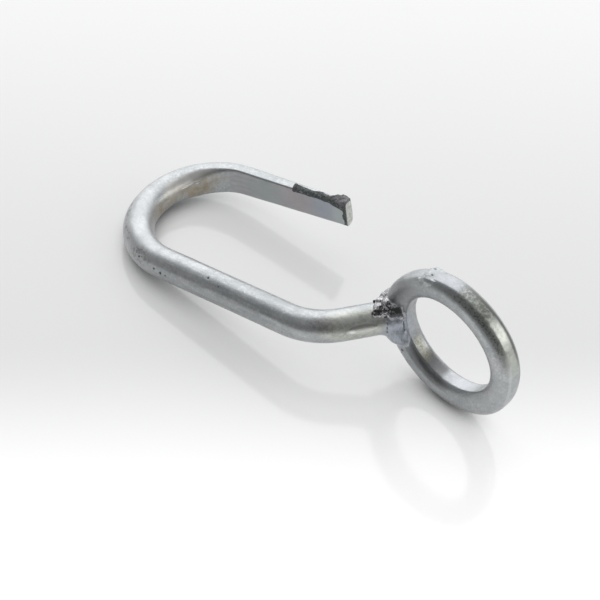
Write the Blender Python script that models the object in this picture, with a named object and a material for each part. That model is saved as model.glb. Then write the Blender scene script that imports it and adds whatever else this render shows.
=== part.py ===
"""Welded eye hook: a bent round bar with a flattened lip arm, and a ring welded across the end of its neck.

Everything is modelled in the hook's own frame, whose XY plane holds the bar's centre line: the leg runs along +X
from the end of the U bend, and the lip arm lies on the +Y side. An empty then leans that frame, because the
hook lies on a floor on two things only: the underside of its bend and the rim of its ring.
"""

import math

import bmesh
import bpy
from mathutils import Matrix, Vector

# Driving dimensions, in metres, and angles in degrees.
BAR_RADIUS = 0.006
LEG_LENGTH = 0.0582
BEND_RADIUS = 0.0263  # to the bar's centre line
BEND_ANGLE = 173.4
ARM_LENGTH = 0.0466
KINK_RADIUS = 0.0262
KINK_ANGLE = 45.6
NECK_LENGTH = 0.0206  # from the kink to the bar's square end

# The lip arm is pressed flat on the side that faces the leg, and thins to a blade at its tip.
FLAT_FACE = 0.0017  # from the centre line to the flat face
TIP_BACK = 0.0026  # from the centre line to the blade's back
TIP_TOP = 0.0049
TIP_BOTTOM = 0.0058
FLAT_STARTS = 105.0  # degrees round the bend
FLAT_BULGE = 1.07  # how much fuller than the flat face its section is drawn before it is cut flat

# The ring is round bar too, slightly flattened on its rim and in its eye, and its rim isn't quite round.
EYE_RADIUS = 0.0194
RIM_RADIUS = 0.0295
RING_HALF_THICKNESS = 0.00505
RIM_HALF_BAND = 0.00204
EYE_HALF_BAND = 0.00235
RIM_DIPS = ((122, 0.0013), (345, 0.0009))  # degrees round the ring, depth
RIM_DIP_REACH = 48.0  # degrees to each side
RING_YAW = -7.9  # the ring's plane, against the leg
NECK_REACH = 0.02264  # along the neck, from the kink to the ring's middle plane
NECK_HITS_AT = 0.0222  # from the ring's centre to that point

# Weld metal. Lumps are (along the neck, angle round it, radius from its axis, size).
FILLET_TOE = 0.0140  # along the neck
FILLET_BELLY = 0.0170
FILLET_ENDS_AT = 214  # degrees round the ring
FILLET_SKIN = 0.0004  # how proud of the bar and the ring its edges stand
TOP_BEAD = (
    (0.0114, 120, 0.0057, 0.0012),
    (0.0122, 112, 0.0056, 0.0013),
    (0.0130, 98, 0.0056, 0.0016),
    (0.0144, 70, 0.0058, 0.0019),
    (0.0148, 122, 0.0057, 0.0019),
    (0.0166, 48, 0.0063, 0.0023),
    (0.0168, 95, 0.0064, 0.0023),
    (0.0178, 132, 0.0058, 0.0021),
    (0.0186, 70, 0.0071, 0.0026),
    (0.0194, 112, 0.0065, 0.0024),
    (0.0204, 138, 0.0058, 0.0018),
    (0.0190, 46, 0.0078, 0.0020),
)
REAR_BEAD = (
    (0.0168, 35, 0.0064, 0.0021),
    (0.0174, 15, 0.0064, 0.0023),
    (0.0178, -5, 0.0064, 0.0024),
    (0.0176, -25, 0.0064, 0.0023),
    (0.0170, -45, 0.0064, 0.0021),
)
WELD_GRAIN = 0.0008
BUTT_WELD_AT = 105.0  # degrees round the ring
BUTT_WELD_RADIUS = 0.0021
BUTT_WELD_STEP = 0.0011  # between its three lumps, across the rim
BUTT_WELD_SUNK = 0.0009
BUTT_WELD_GRAIN = 0.0005
NECK_DROPLET = 0.0006  # radius
RING_DROPLET = 0.0007

# Zinc dross on the lip arm: a ridge along its top edge, and a run down the edge of its end.
CRUST_STARTS = 0.50  # share of the arm's length
CRUST_ENDS = 0.995
CRUST_HEIGHT = 0.0008
CRUST_SKIN = 0.0006  # how proud of the arm's flat face it stands
CRUST_BACK = 0.0012  # how far it reaches behind the centre line where it starts
CRUST_DROOP = 0.0018  # how much further it hangs down the flat face at the tip
CRUST_STEPS = 18
RUN_WIDTH = 0.024  # share of the arm's length
RUN_STEPS = 8

GAP = 0.0003  # clearance between pieces that touch
REST_PITCH = 9.8
REST_ROLL = 4.4
SHARP_EDGE = 32.0  # degrees

BAR_SIDES = 32
BEND_STEP = 5.0
RING_STEPS = 90
RING_ARC_STEPS = 6


def unit(degrees):
    angle = math.radians(degrees)
    return Vector((math.cos(angle), math.sin(angle), 0))


UP = Vector((0, 0, 1))
NECK_START = Vector(
    (
        LEG_LENGTH + KINK_RADIUS * math.sin(math.radians(KINK_ANGLE)),
        KINK_RADIUS * (1 - math.cos(math.radians(KINK_ANGLE))),
        0,
    )
)
NECK_ALONG = unit(KINK_ANGLE)
NECK_LEFT = unit(KINK_ANGLE + 90)
RING_ALONG = unit(RING_YAW)
RING_NORMAL = unit(RING_YAW + 90)
RING_CENTRE = NECK_START + NECK_REACH * NECK_ALONG + NECK_HITS_AT * RING_ALONG
CORE_RADIUS = (EYE_RADIUS + RIM_RADIUS) / 2


def clear_scene():
    for thing in list(bpy.data.objects):
        bpy.data.objects.remove(thing)


def steel(name, colour, roughness, metallic=0.9):
    material = bpy.data.materials.new(name)
    material.use_nodes = True
    shader = material.node_tree.nodes["Principled BSDF"]
    shader.inputs["Base Color"].default_value = (*colour, 1)
    shader.inputs["Roughness"].default_value = roughness
    shader.inputs["Metallic"].default_value = metallic
    return material


def smoothstep(x):
    x = min(max(x, 0.0), 1.0)
    return x * x * (3 - 2 * x)


def blend(a, b, share):
    return a + (b - a) * share


def thinning(share):
    """How far the arm has gone from full bar, 0, to the tip's blade, 1."""
    return share**0.8


def mesh_object(name, bm, material=None):
    bmesh.ops.recalc_face_normals(bm, faces=bm.faces)
    mesh = bpy.data.meshes.new(name)
    bm.to_mesh(mesh)
    bm.free()
    mesh.shade_smooth()
    mesh.set_sharp_from_angle(angle=math.radians(SHARP_EDGE))
    thing = bpy.data.objects.new(name, mesh)
    bpy.context.scene.collection.objects.link(thing)
    if material:
        mesh.materials.append(material)
    return thing


def loft(bm, loops, closed=False):
    """Skins a list of equal loops of points. An open loft is capped at both ends."""
    rows = [[bm.verts.new(p) for p in loop] for loop in loops]
    count = len(rows[0])
    pairs = list(zip(rows, rows[1:]))
    if closed:
        pairs.append((rows[-1], rows[0]))
    for low, high in pairs:
        for i in range(count):
            j = (i + 1) % count
            bm.faces.new((low[i], low[j], high[j], high[i]))
    if not closed:
        bm.faces.new(rows[0])
        bm.faces.new(rows[-1])


def signed_power(value, power):
    return math.copysign(abs(value) ** power, value)


def bar_section(flat, thin, grow=0.0):
    """Points (toward the hook's inside, up) round the bar. flat and thin go from 0, round, to 1, the tip's blade."""
    inner = blend(BAR_RADIUS, FLAT_FACE, flat) + grow
    bulge = blend(1, FLAT_BULGE, flat)
    back = blend(BAR_RADIUS, TIP_BACK, thin) + grow
    top = blend(BAR_RADIUS, TIP_TOP, thin) + grow
    bottom = blend(BAR_RADIUS, TIP_BOTTOM, thin) + grow
    inner_power = 2 / blend(2, 6.5, flat)
    back_power = 2 / blend(2, 3.5, thin)
    points = []
    for i in range(BAR_SIDES):
        angle = 2 * math.pi * i / BAR_SIDES
        c, s = math.cos(angle), math.sin(angle)
        power = inner_power if c > 0 else back_power
        across = signed_power(c, power) * (inner * bulge if c > 0 else back)
        height = signed_power(s, power) * (top if s > 0 else bottom)
        points.append((min(across, inner), height))
    return points


def bar_stations():
    """(point, direction, flat, thin) along the centre line, from the neck's end to the arm's tip."""
    stations = [
        (NECK_START + NECK_LENGTH * NECK_ALONG, -NECK_ALONG, 0, 0),
    ]
    kink_steps = round(KINK_ANGLE / BEND_STEP)
    for i in range(kink_steps, -1, -1):
        angle = KINK_ANGLE * i / kink_steps
        centre = Vector((LEG_LENGTH, KINK_RADIUS, 0))
        stations.append((centre + KINK_RADIUS * unit(angle - 90), -unit(angle), 0, 0))
    bend_steps = round(BEND_ANGLE / BEND_STEP)
    for i in range(bend_steps + 1):
        angle = BEND_ANGLE * i / bend_steps
        flat = smoothstep((angle - FLAT_STARTS) / (BEND_ANGLE - FLAT_STARTS))
        centre = Vector((0, BEND_RADIUS, 0))
        stations.append((centre + BEND_RADIUS * unit(-90 - angle), -unit(-angle), flat, 0))
    start, along = stations[-1][0], stations[-1][1]
    arm_steps = 10
    for i in range(1, arm_steps + 1):
        share = i / arm_steps
        stations.append((start + ARM_LENGTH * share * along, along, 1, thinning(share)))
    return stations


def section_loop(point, along, section):
    inside = Vector((-along.y, along.x, 0)) * -1
    return [point + across * inside + height * UP for across, height in section]


def bar_body(grow=0.0):
    bm = bmesh.new()
    loops = [
        section_loop(point, along, bar_section(flat, thin, grow))
        for point, along, flat, thin in bar_stations()
    ]
    loft(bm, loops)
    return bm


def ring_section(grow=0.0):
    """Points (from the ring's axis, along it): an oval cut flat on the rim and in the eye."""
    half_width = (RIM_RADIUS - EYE_RADIUS) / 2
    points = []
    for side, band in ((1, RIM_HALF_BAND), (-1, EYE_HALF_BAND)):
        oval = half_width / math.sqrt(1 - (band / RING_HALF_THICKNESS) ** 2)
        start = math.asin(band / RING_HALF_THICKNESS)
        arc = [start + (math.pi / 2 - start) * i / RING_ARC_STEPS for i in range(RING_ARC_STEPS + 1)]
        quarter = [
            ((oval + grow) * math.cos(a), (RING_HALF_THICKNESS + grow) * math.sin(a))
            for a in arc
        ]
        quarter = [(min(x, half_width + grow), z) for x, z in quarter]
        if side > 0:
            points += quarter
            lower_rim = [(x, -z) for x, z in reversed(quarter)]
        else:
            points += [(-x, z) for x, z in reversed(quarter[:-1])]
            points += [(-x, -z) for x, z in quarter[:-1]]
    points += lower_rim
    return [(CORE_RADIUS + x, z) for x, z in points]


def rim_dip(angle):
    """How much nearer to the ring's axis the rim is than a true circle, where the hand-bent bar runs straighter."""
    dip = 0.0
    for middle, depth in RIM_DIPS:
        apart = abs((math.degrees(angle) - middle + 180) % 360 - 180)
        dip += depth * smoothstep(1 - apart / RIM_DIP_REACH)
    return dip


def ring_point(angle, radius, height):
    """A point given by its angle round the ring, from its far side over the top, and its place in the section."""
    spoke = math.cos(angle) * RING_ALONG + math.sin(angle) * UP
    outer_share = min(max((radius - CORE_RADIUS) / (RIM_RADIUS - CORE_RADIUS), 0), 1)
    return RING_CENTRE + (radius - rim_dip(angle) * outer_share) * spoke + height * RING_NORMAL


def ring_body(grow=0.0):
    bm = bmesh.new()
    loops = []
    for i in range(RING_STEPS):
        angle = 2 * math.pi * i / RING_STEPS
        loops.append([ring_point(angle, r, h) for r, h in ring_section(grow)])
    loft(bm, loops, closed=True)
    return bm


def cutter(name, bm):
    """A guide that the build leaves out: welds are cut back to it."""
    thing = mesh_object(name, bm)
    thing.hide_render = True
    thing.display_type = "WIRE"
    return thing


def cut_by(thing, *cutters):
    for other in cutters:
        modifier = thing.modifiers.new(f"clear_of_{other.name}", "BOOLEAN")
        modifier.operation = "DIFFERENCE"
        modifier.object = other
        modifier.solver = "EXACT"


def neck_point(along, angle, radius):
    """A point by its distance along the neck and its angle round it, from the far side over the top."""
    turn = math.radians(angle)
    return NECK_START + along * NECK_ALONG + radius * (math.cos(turn) * NECK_LEFT + math.sin(turn) * UP)


def add_lump(bm, centre, radius):
    bmesh.ops.create_icosphere(bm, subdivisions=2, radius=radius, matrix=Matrix.Translation(centre))


def lumpy_mass(name, lumps, grow=0.0):
    """Overlapping lumps (along, angle, radius from the neck's axis, size) melted into one body."""
    bm = bmesh.new()
    for along, angle, radius, size in lumps:
        add_lump(bm, neck_point(along, angle, radius), size + grow)
    mass = mesh_object(name, bm)
    melt = mass.modifiers.new("melt", "REMESH")
    melt.mode = "VOXEL"
    melt.voxel_size = WELD_GRAIN
    melt.use_smooth_shade = True
    return mass


def lumpy_bead(name, lumps, material, cutters):
    """Weld metal, and a guide that keeps its neighbours a gap away from it."""
    bead = lumpy_mass(name, lumps)
    bead.data.materials.append(material)
    cut_by(bead, *cutters)
    keep_out = lumpy_mass(f"{name}_keep_out", lumps, GAP)
    keep_out.hide_render = True
    keep_out.display_type = "WIRE"
    return bead, keep_out


def ring_surface(angle, tilt, out=0.0):
    """A point on the ring's oval section; tilt turns from the rim towards the face that looks at the leg."""
    turn, lean = math.radians(angle), math.radians(tilt)
    half_width = (RIM_RADIUS - EYE_RADIUS) / 2
    across = (half_width + out) * math.cos(lean)
    height = -(RING_HALF_THICKNESS + out) * math.sin(lean)
    return ring_point(turn, CORE_RADIUS + across, height)


def under_fillet(material, cutters):
    """The smooth fillet: it wraps the neck's end and fills the corner below it, down to the ring's face."""
    skin = BAR_RADIUS + FILLET_SKIN
    points = [neck_point(FILLET_TOE, angle, skin) for angle in range(145, 300, 15)]
    points += [neck_point(FILLET_BELLY, angle, skin + FILLET_SKIN) for angle in range(150, 240, 15)]
    points += [neck_point(NECK_LENGTH + FILLET_SKIN, angle, skin) for angle in range(155, 225, 15)]
    for angle in (178, 186, 194, 204, FILLET_ENDS_AT):
        points += [ring_surface(angle, tilt, FILLET_SKIN) for tilt in (15, 40, 65)]
        points.append(ring_surface(angle, 40, -BAR_RADIUS / 3))
    bm = bmesh.new()
    for point in points:
        bm.verts.new(point)
    hull = bmesh.ops.convex_hull(bm, input=bm.verts)
    bmesh.ops.delete(bm, geom=hull["geom_interior"], context="VERTS")
    fillet = mesh_object("weld_fillet_under", bm, material)
    cut_by(fillet, *cutters)
    return fillet


def butt_weld(material, ring_keep_out):
    """The low bead over the joint where the ring's own bar was closed."""
    bm = bmesh.new()
    for offset in (-1, 0, 1):
        radius = RIM_RADIUS - BUTT_WELD_SUNK
        centre = ring_point(math.radians(BUTT_WELD_AT), radius, offset * BUTT_WELD_STEP)
        add_lump(bm, centre, BUTT_WELD_RADIUS)
    weld = mesh_object("ring_butt_weld", bm, material)
    melt = weld.modifiers.new("melt", "REMESH")
    melt.mode = "VOXEL"
    melt.voxel_size = BUTT_WELD_GRAIN
    cut_by(weld, ring_keep_out)
    return weld


def arm_point(share, inward, height):
    """A point by its share of the lip arm's length, its distance towards the leg, and its height."""
    start = Vector((0, BEND_RADIUS, 0)) + BEND_RADIUS * unit(-90 - BEND_ANGLE)
    along = -unit(-BEND_ANGLE)
    inside = Vector((along.y, -along.x, 0))
    return start + ARM_LENGTH * share * along + inward * inside + height * UP


def crust_ridge_loop(step):
    """One ragged section of the ridge, saddled over the arm's top edge."""
    share = blend(CRUST_STARTS, CRUST_ENDS, step / CRUST_STEPS)
    top = blend(BAR_RADIUS, TIP_TOP, thinning(share))
    back = blend(CRUST_BACK, TIP_BACK, smoothstep(2 * (share - CRUST_STARTS)))
    crest = CRUST_HEIGHT * (1 + 0.28 * math.sin(2.3 * step) + 0.2 * math.sin(4.1 * step + 1))
    droop = 0.0010 + 0.0003 * math.sin(1.7 * step) + CRUST_DROOP * smoothstep(5 * (share - 0.8))
    proud = FLAT_FACE + CRUST_SKIN
    section = (
        (proud, -droop),
        (proud, 0.4 * crest),
        (FLAT_FACE - 0.0010, crest),
        (0.0010 - back, 0.8 * crest),
        (-back, 0.1 * crest),
        (0.0005 - back, -0.0015),
        (0.0, -0.0020),
    )
    return [arm_point(share, inward, top + height) for inward, height in section]


def crust_run_loop(step):
    """One level section of the run down the end of the flat face, which narrows in waves."""
    height = blend(TIP_TOP - 0.0005, 0.0024 - TIP_BOTTOM, step / RUN_STEPS)
    width = RUN_WIDTH * (1 + 0.4 * math.sin(2.6 * step) * (1 - 0.7 * step / RUN_STEPS))
    proud = FLAT_FACE + CRUST_SKIN
    section = (
        (width, proud),
        (0.4 * width, proud + 0.0001),
        (0.0, proud),
        (0.0, FLAT_FACE - CRUST_SKIN),
        (width, FLAT_FACE - CRUST_SKIN),
    )
    return [arm_point(CRUST_ENDS - from_end, inward, height) for from_end, inward in section]


def tip_crust(material, bar_keep_out):
    """The dross as one body, and the guide whose shape it takes in."""
    ridge = bmesh.new()
    loft(ridge, [crust_ridge_loop(step) for step in range(CRUST_STEPS + 1)])
    crust = mesh_object("tip_crust", ridge, material)
    run = bmesh.new()
    loft(run, [crust_run_loop(step) for step in range(RUN_STEPS + 1)])
    run_guide = cutter("crust_run_down_the_end", run)
    join = crust.modifiers.new("join_run", "BOOLEAN")
    join.operation = "UNION"
    join.object = run_guide
    join.solver = "EXACT"
    cut_by(crust, bar_keep_out)
    return crust, run_guide


def spatter(name, centre, radius, material):
    """One frozen droplet thrown off by the welding."""
    bm = bmesh.new()
    add_lump(bm, centre, radius)
    return mesh_object(name, bm, material)


def stand_on_floor(root, pieces):
    """Centres the whole hook over the origin and rests its lowest point on z = 0."""
    bpy.context.view_layer.update()
    graph = bpy.context.evaluated_depsgraph_get()
    corners = []
    for thing in pieces:
        evaluated = thing.evaluated_get(graph)
        corners += [evaluated.matrix_world @ v.co for v in evaluated.data.vertices]
    low = Vector([min(c[i] for c in corners) for i in range(3)])
    high = Vector([max(c[i] for c in corners) for i in range(3)])
    root.location -= Vector(((low.x + high.x) / 2, (low.y + high.y) / 2, low.z))


def main():
    clear_scene()
    zinc = steel("galvanised_steel", (0.50, 0.52, 0.53), 0.38)
    weld_zinc = steel("galvanised_weld", (0.42, 0.45, 0.50), 0.34)
    slag = steel("dark_weld_slag", (0.10, 0.11, 0.11), 0.55, 0.5)
    dross = steel("zinc_dross", (0.16, 0.17, 0.17), 0.70, 0.4)

    root = bpy.data.objects.new("hook_frame", None)
    bpy.context.scene.collection.objects.link(root)
    ring_keep_out = cutter("ring_keep_out", ring_body(GAP))
    bar_keep_out = cutter("bar_keep_out", bar_body(GAP))
    keep_outs = (bar_keep_out, ring_keep_out)

    bar = mesh_object("hook_bar", bar_body(), zinc)
    cut_by(bar, ring_keep_out)
    ring = mesh_object("eye_ring", ring_body(), zinc)
    top_bead, top_keep_out = lumpy_bead("weld_bead_top", TOP_BEAD, slag, keep_outs)
    rear_bead, rear_keep_out = lumpy_bead(
        "weld_bead_rear", REAR_BEAD, weld_zinc, (*keep_outs, top_keep_out)
    )
    fillet = under_fillet(weld_zinc, (*keep_outs, top_keep_out, rear_keep_out))
    welds = [fillet, top_bead, rear_bead, butt_weld(weld_zinc, ring_keep_out)]
    crust, run_guide = tip_crust(dross, bar_keep_out)
    on_neck = neck_point(0.0124, 60, BAR_RADIUS + GAP + NECK_DROPLET)
    on_ring = ring_surface(163, 24, GAP + RING_DROPLET)
    droplets = [
        spatter("weld_spatter_neck", on_neck, NECK_DROPLET, slag),
        spatter("weld_spatter_ring", on_ring, RING_DROPLET, slag),
    ]
    solids = [bar, ring, crust, *welds, *droplets]
    guides = [*keep_outs, top_keep_out, rear_keep_out, run_guide]
    for thing in solids + guides:
        thing.parent = root
    root.rotation_euler = (math.radians(REST_ROLL), -math.radians(REST_PITCH), 0)
    stand_on_floor(root, solids)


main()
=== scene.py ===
import itertools
import math

import bpy
import numpy as np
from mathutils import Euler, Matrix, Vector


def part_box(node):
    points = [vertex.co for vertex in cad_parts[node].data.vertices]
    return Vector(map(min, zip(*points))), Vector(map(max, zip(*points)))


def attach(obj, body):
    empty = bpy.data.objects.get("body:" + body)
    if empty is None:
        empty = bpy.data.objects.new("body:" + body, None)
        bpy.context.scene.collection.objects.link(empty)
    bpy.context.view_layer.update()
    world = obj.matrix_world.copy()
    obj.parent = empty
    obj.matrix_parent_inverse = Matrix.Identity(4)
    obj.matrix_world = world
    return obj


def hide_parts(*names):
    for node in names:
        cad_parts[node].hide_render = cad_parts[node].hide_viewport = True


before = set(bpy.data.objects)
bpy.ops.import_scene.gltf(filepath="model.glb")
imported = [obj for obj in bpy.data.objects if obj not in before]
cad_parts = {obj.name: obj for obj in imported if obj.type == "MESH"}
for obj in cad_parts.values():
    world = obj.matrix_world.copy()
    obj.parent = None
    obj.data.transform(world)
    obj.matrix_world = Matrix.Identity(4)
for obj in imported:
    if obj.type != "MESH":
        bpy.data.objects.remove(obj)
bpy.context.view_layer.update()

# The finished look of the welded eye hook.
#
# The hook is rebuilt as fine meshes from its own dimensions, in its own frame: the XY plane holds the bar's
# centre line, the leg runs along +X from the end of the U bend, and the lip arm is on +Y. A section of the
# bar is (across, up), where across is the distance towards the hook's inside.
# Lengths are in metres and angles in degrees.

# The bar.
BAR_RADIUS = 0.006
LEG_LENGTH = 0.0582
BEND_RADIUS = 0.0263  # to the bar's centre line
BEND_ANGLE = 173.4
ARM_LENGTH = 0.0466
KINK_RADIUS = 0.0262
KINK_ANGLE = 45.6
NECK_LENGTH = 0.0206
FLAT_FACE = 0.0017  # from the centre line to the lip arm's flat face
TIP_BACK = 0.0026
TIP_TOP = 0.0049
TIP_BOTTOM = 0.0058
THINNING = 0.8  # how the back thins towards the tip, as a power of the distance
FLAT_STARTS = 105.0  # degrees round the bend
FLAT_BULGE = 1.07
TIP_EDGE = 0.0003  # rounding of the cut end's edge

# The ring.
EYE_RADIUS = 0.0194
RIM_RADIUS = 0.0295
RING_HALF_THICKNESS = 0.00505
RIM_HALF_BAND = 0.00204
EYE_HALF_BAND = 0.00235
RIM_DIPS = ((122, 0.0013), (345, 0.0009))  # degrees round the ring, depth
RIM_DIP_REACH = 48.0
RING_YAW = -7.9
NECK_REACH = 0.02264
NECK_HITS_AT = 0.0222

# How the hook lies on the floor.
REST_PITCH = 9.8
REST_ROLL = 4.4

# Fineness of the meshes.
STATION_STEP = 0.0004
BAR_SIDES = 96
RING_STEPS = 420
RING_SIDES = 84

# Weld lumps are (along the neck, angle round it, radius from its axis, size).
TOP_BEAD = (
    (0.0114, 120, 0.0057, 0.0012),
    (0.0122, 112, 0.0056, 0.0013),
    (0.0130, 98, 0.0056, 0.0016),
    (0.0144, 70, 0.0058, 0.0019),
    (0.0148, 122, 0.0057, 0.0019),
    (0.0166, 48, 0.0063, 0.0023),
    (0.0168, 95, 0.0064, 0.0023),
    (0.0178, 132, 0.0058, 0.0021),
    (0.0186, 70, 0.0071, 0.0026),
    (0.0194, 112, 0.0065, 0.0024),
    (0.0204, 138, 0.0058, 0.0018),
    (0.0190, 46, 0.0078, 0.0020),
)
REAR_BEAD = [(0.0172 + 0.0006 * math.cos(math.radians(a)), a, 0.0062, 0.0022) for a in range(-60, 46, 13)]
BUTT_WELD_AT = 105.0
CRUST_STARTS = 0.0233  # along the lip arm


# ---- the hook's frame


def unit(degrees):
    angle = math.radians(degrees)
    return np.array((math.cos(angle), math.sin(angle), 0.0))


UP = np.array((0.0, 0.0, 1.0))
KINK_CENTRE = np.array((LEG_LENGTH, KINK_RADIUS, 0.0))
BEND_CENTRE = np.array((0.0, BEND_RADIUS, 0.0))
NECK_START = KINK_CENTRE + KINK_RADIUS * unit(KINK_ANGLE - 90)
NECK_ALONG = unit(KINK_ANGLE)
NECK_LEFT = unit(KINK_ANGLE + 90)
ARM_START = BEND_CENTRE + BEND_RADIUS * unit(-90 - BEND_ANGLE)
ARM_ALONG = -unit(-BEND_ANGLE)
ARM_INSIDE = np.array((ARM_ALONG[1], -ARM_ALONG[0], 0.0))
RING_ALONG = unit(RING_YAW)
RING_NORMAL = unit(RING_YAW + 90)
RING_CENTRE = NECK_START + NECK_REACH * NECK_ALONG + NECK_HITS_AT * RING_ALONG
CORE_RADIUS = (EYE_RADIUS + RIM_RADIUS) / 2
RING_HALF_WIDTH = (RIM_RADIUS - EYE_RADIUS) / 2


def towards(angle, across):
    """The direction at an angle from across over the top."""
    turn = math.radians(angle)
    return math.cos(turn) * across + math.sin(turn) * UP


def neck_point(along, angle, radius):
    """A point by its distance along the neck and its angle round it, from the hook's inside over the top."""
    return NECK_START + along * NECK_ALONG + radius * towards(angle, NECK_LEFT)


def leg_point(along, angle):
    return np.array((along, 0, 0)) + BAR_RADIUS * towards(angle, unit(90))


def bend_point(degrees, angle, radius=BAR_RADIUS):
    out = unit(-90 - degrees)
    return BEND_CENTRE + BEND_RADIUS * out + radius * towards(angle, -out)


def kink_point(degrees, angle):
    out = unit(degrees - 90)
    return KINK_CENTRE + KINK_RADIUS * out + BAR_RADIUS * towards(angle, -out)


def arm_point(along, inward, height):
    return ARM_START + along * ARM_ALONG + inward * ARM_INSIDE + height * UP


def ring_point(degrees, radius, offset):
    return RING_CENTRE + radius * towards(degrees, RING_ALONG) + offset * RING_NORMAL


# ---- numbers


def blend(a, b, share):
    return a + (b - a) * share


def smoothstep(x):
    x = np.clip(x, 0.0, 1.0)
    return x * x * (3 - 2 * x)


def distance(points, place=0.0):
    return np.linalg.norm(points - place, axis=1)


def apart(a, b):
    """The angle between two headings, from 0 to 180 degrees."""
    return np.abs((a - b + 180) % 360 - 180)


def soft_min(a, b, reach):
    """The smaller of two distances, rounded where they are within reach of each other."""
    share = np.clip(0.5 + 0.5 * (b - a) / reach, 0, 1)
    return b + (a - b) * share - reach * share * (1 - share)


NOISE_SIZE = 32
NOISE_TABLE = np.random.default_rng(11).random((NOISE_SIZE,) * 3)


def noise(points, cell, seed=0):
    """Smooth noise from -1 to 1 that changes over one cell."""
    place = points / cell + 7.31 * (seed + 1)
    base = np.floor(place).astype(int)
    part = place - base
    part = part * part * (3 - 2 * part)
    total = np.zeros(len(points))
    for corner in itertools.product((0, 1), repeat=3):
        share = np.prod(np.where(corner, part, 1 - part), axis=1)
        i, j, k = ((base + corner) % NOISE_SIZE).T
        total += share * NOISE_TABLE[i, j, k]
    return 2 * total - 1


def rough_noise(points, cell, octaves=3, seed=0):
    total = np.zeros(len(points))
    for octave in range(octaves):
        total += noise(points, cell / 2**octave, seed + octave) / 2**octave
    return total / 1.6


# ---- meshes


def new_piece(name, points, faces, sharp=180.0):
    """A smooth-shaded mesh object, from faces that already point outwards."""
    mesh = bpy.data.meshes.new(name)
    mesh.from_pydata(np.asarray(points).tolist(), [], faces)
    mesh.update()
    mesh.shade_smooth()
    if sharp < 180:
        mesh.set_sharp_from_angle(angle=math.radians(sharp))
    piece = bpy.data.objects.new(name, mesh)
    bpy.context.scene.collection.objects.link(piece)
    return piece


def tube_faces(rows, sides, closed):
    """Quads between neighbouring rows of a tube, then its two caps as fans round the two last points."""
    faces = []
    for row in range(rows if closed else rows - 1):
        low, high = row * sides, ((row + 1) % rows) * sides
        for side in range(sides):
            other = (side + 1) % sides
            faces.append((low + side, high + side, high + other, low + other))
    if not closed:
        first, last, start = rows * sides, rows * sides + 1, (rows - 1) * sides
        faces += [(first, side, (side + 1) % sides) for side in range(sides)]
        faces += [(last, start + (side + 1) % sides, start + side) for side in range(sides)]
    return faces


def even_section(across, up, count):
    """A closed outline resampled to points an even distance apart, starting at its first point."""
    across, up = np.append(across, across[0]), np.append(up, up[0])
    run = np.concatenate(([0], np.cumsum(np.hypot(np.diff(across), np.diff(up)))))
    marks = np.linspace(0, run[-1], count, endpoint=False)
    return np.interp(marks, run, across), np.interp(marks, run, up)


def push_out(piece, heights):
    """Moves each point along its normal by its height."""
    mesh = piece.data
    points, normals = mesh_points(mesh), np.empty(len(mesh.vertices) * 3)
    mesh.vertices.foreach_get("normal", normals)
    points += normals.reshape(-1, 3) * heights[:, None]
    mesh.vertices.foreach_set("co", points.ravel())
    mesh.update()


def mesh_points(mesh):
    points = np.empty(len(mesh.vertices) * 3)
    mesh.vertices.foreach_get("co", points)
    return points.reshape(-1, 3)


def near(points, place, size):
    """1 at a place, falling to 0 at a distance of size."""
    return smoothstep(1 - distance(points, place) / size)


# ---- the bar


def centre_line():
    """Points, directions, flatness and thinness from the neck's end to the lip arm's tip, as four arrays."""
    rows = []

    def add(point, direction, flatness=0.0, thinness=0.0):
        rows.append((point, direction, flatness, thinness))

    kink_steps = round(math.radians(KINK_ANGLE) * KINK_RADIUS / STATION_STEP)
    bend_steps = round(math.radians(BEND_ANGLE) * BEND_RADIUS / STATION_STEP)
    for run in np.arange(NECK_LENGTH, 0, -STATION_STEP):
        add(NECK_START + run * NECK_ALONG, -NECK_ALONG)
    for angle in np.linspace(KINK_ANGLE, 0, kink_steps):
        add(KINK_CENTRE + KINK_RADIUS * unit(angle - 90), -unit(angle))
    for run in np.arange(LEG_LENGTH - STATION_STEP, 0, -STATION_STEP):
        add(np.array((run, 0, 0)), -unit(0))
    for angle in np.linspace(0, BEND_ANGLE, bend_steps):
        pressed = smoothstep((angle - FLAT_STARTS) / (BEND_ANGLE - FLAT_STARTS))
        add(BEND_CENTRE + BEND_RADIUS * unit(-90 - angle), -unit(-angle), pressed)
    for share in np.linspace(0, 1, round(ARM_LENGTH / STATION_STEP))[1:]:
        add(ARM_START + ARM_LENGTH * share * ARM_ALONG, ARM_ALONG, 1.0, share**THINNING)
    return [np.array(column) for column in zip(*rows)]


def bar_section(flat, thin, shrink=0.0):
    """The bar's outline from round, 0 and 0, to the tip's blade, 1 and 1."""
    angle = np.linspace(0, 2 * math.pi, 360, endpoint=False)
    c, s = np.cos(angle), np.sin(angle)
    inner = blend(BAR_RADIUS, FLAT_FACE, flat)
    corner = blend(2, 6.5, np.where(s > 0, flat**4, flat))
    power = np.where(c > 0, 2 / corner, 2 / blend(2, 3.5, thin))
    width = np.where(c > 0, inner * blend(1, FLAT_BULGE, flat), blend(BAR_RADIUS, TIP_BACK, thin))
    height = np.where(s > 0, blend(BAR_RADIUS, TIP_TOP, thin), blend(BAR_RADIUS, TIP_BOTTOM, thin))
    across = np.sign(c) * np.abs(c) ** power * (width - shrink)
    up = np.sign(s) * np.abs(s) ** power * (height - shrink)
    return even_section(np.minimum(across, inner - shrink), up, BAR_SIDES)


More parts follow.
